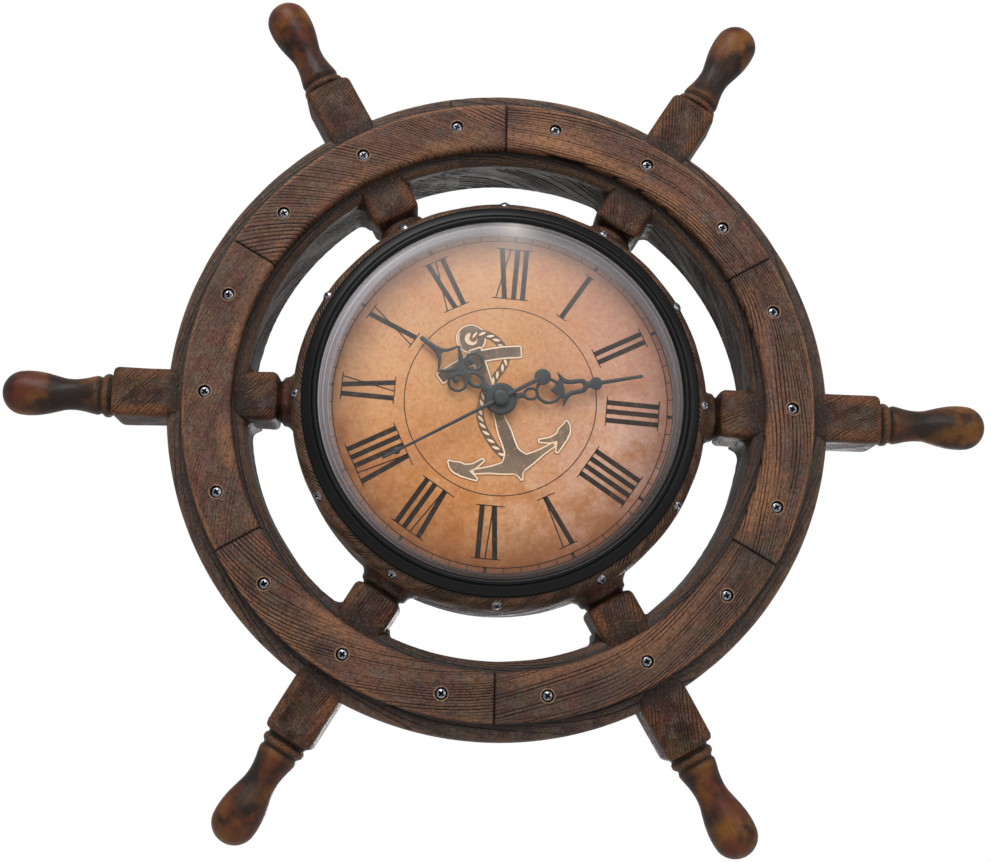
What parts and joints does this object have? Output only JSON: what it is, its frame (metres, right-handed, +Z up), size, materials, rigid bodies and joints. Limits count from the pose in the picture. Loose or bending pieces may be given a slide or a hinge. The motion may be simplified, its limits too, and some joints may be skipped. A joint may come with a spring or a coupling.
{
  "type": "ship wheel wall clock",
  "caption": "Quartz clock set in the hub of a dark wooden ship's wheel, with turned spoke handles, screwed rim plates, a Roman dial and ornate hands.",
  "frame": {"origin": "on the wheel's axis, midway between the wall and the front of the bezel, which is the middle of the whole clock", "axes": "+Z up, +X to the right and +Y into the wall as the dial is read, so the clock faces -Y"},
  "size_m": [0.3818, 0.04, 0.3344],
  "materials": {
    "dark_wood": "dark stained, worn edges, carved grain",
    "worn_wood": "dark stained, rubbed to red-brown, carved grain",
    "black_plastic": "satin black",
    "case_plastic": "moulded black",
    "clear_lens": "clear, polished",
    "dial_print": "aged parchment print",
    "hand_paint": "satin dark slate",
    "white_resin": "moulded acetal",
    "brass": "turned",
    "steel": "plain",
    "copper": "enamelled wire winding",
    "board": "solder mask",
    "rubber": "matt",
    "cell_jacket": "plain unmarked jacket"
  },
  "bodies": {
    "wheel": {"rim_ring": "dark_wood", "wall_hanger": "steel", "hub_ring": "dark_wood", "rim_plate_1": "worn_wood", "spoke_1": "dark_wood", "rim_plate_2": "worn_wood", "spoke_2": "dark_wood", "rim_plate_3": "worn_wood", "spoke_3": "dark_wood", "rim_plate_4": "worn_wood", "spoke_4": "dark_wood", "rim_plate_5": "worn_wood", "spoke_5": "dark_wood", "rim_plate_6": "worn_wood", "spoke_6": "dark_wood", "clock_housing": "black_plastic", "dial_plate": "dial_print", "lens": "clear_lens", "bezel": "black_plastic", "gasket": "rubber", "washer": "brass", "hex_nut": "brass", "movement_front": "case_plastic", "movement_back": "case_plastic", "stator": "steel", "coil": "copper", "circuit_board": "board", "battery": "cell_jacket", "contact_plus": "steel", "contact_minus": "steel"},
    "minute": {"minute_hand": "hand_paint", "minute_pipe": "brass"},
    "hour": {"hour_hand": "hand_paint", "hour_wheel": "white_resin"},
    "motion": {"motion_wheel": "white_resin"},
    "knob": {"set_knob": "white_resin"},
    "second": {"second_hand": "hand_paint", "second_wheel": "white_resin"},
    "third": {"third_wheel": "white_resin"},
    "centre": {"centre_wheel": "brass"},
    "step": {"step_wheel": "white_resin"},
    "rotor": {"rotor": "steel"}
  },
  "joints": [
    {"name": "minute_turn", "type": "hinge", "parent": "wheel", "child": "minute", "pos_m": [0, 0, 0], "axis": [0, 1, 0], "continuous": true},
    {"name": "hour_turn", "type": "hinge", "parent": "wheel", "child": "hour", "pos_m": [0, 0, 0], "axis": [0, 1, 0], "continuous": true},
    {"name": "motion_turn", "type": "hinge", "parent": "wheel", "child": "motion", "pos_m": [0.00067, 0, 0.00958], "axis": [0, 1, 0], "continuous": true},
    {"name": "knob_turn", "type": "hinge", "parent": "wheel", "child": "knob", "pos_m": [0.0093, 0, 0.01378], "axis": [0, 1, 0], "continuous": true},
    {"name": "second_turn", "type": "hinge", "parent": "wheel", "child": "second", "pos_m": [0, 0, 0], "axis": [0, 1, 0], "continuous": true},
    {"name": "third_turn", "type": "hinge", "parent": "wheel", "child": "third", "pos_m": [-0.00987, 0, 0.00439], "axis": [0, 1, 0], "continuous": true},
    {"name": "centre_turn", "type": "hinge", "parent": "wheel", "child": "centre", "pos_m": [0, 0, 0], "axis": [0, 1, 0], "continuous": true},
    {"name": "step_turn", "type": "hinge", "parent": "wheel", "child": "step", "pos_m": [0.00931, 0, -0.00232], "axis": [0, 1, 0], "continuous": true},
    {"name": "rotor_turn", "type": "hinge", "parent": "wheel", "child": "rotor", "pos_m": [0.01739, 0, -0.00001], "axis": [0, 1, 0], "continuous": true}
  ],
  "couplings": [
    {"joint": "hour_turn", "follows": "minute_turn", "ratio": 0.083333},
    {"joint": "motion_turn", "follows": "minute_turn", "ratio": -0.33333},
    {"joint": "knob_turn", "follows": "minute_turn", "ratio": 1},
    {"joint": "third_turn", "follows": "second_turn", "ratio": -0.125},
    {"joint": "centre_turn", "follows": "second_turn", "ratio": 0.016667},
    {"joint": "step_turn", "follows": "second_turn", "ratio": -5},
    {"joint": "rotor_turn", "follows": "second_turn", "ratio": 30}
  ]
}
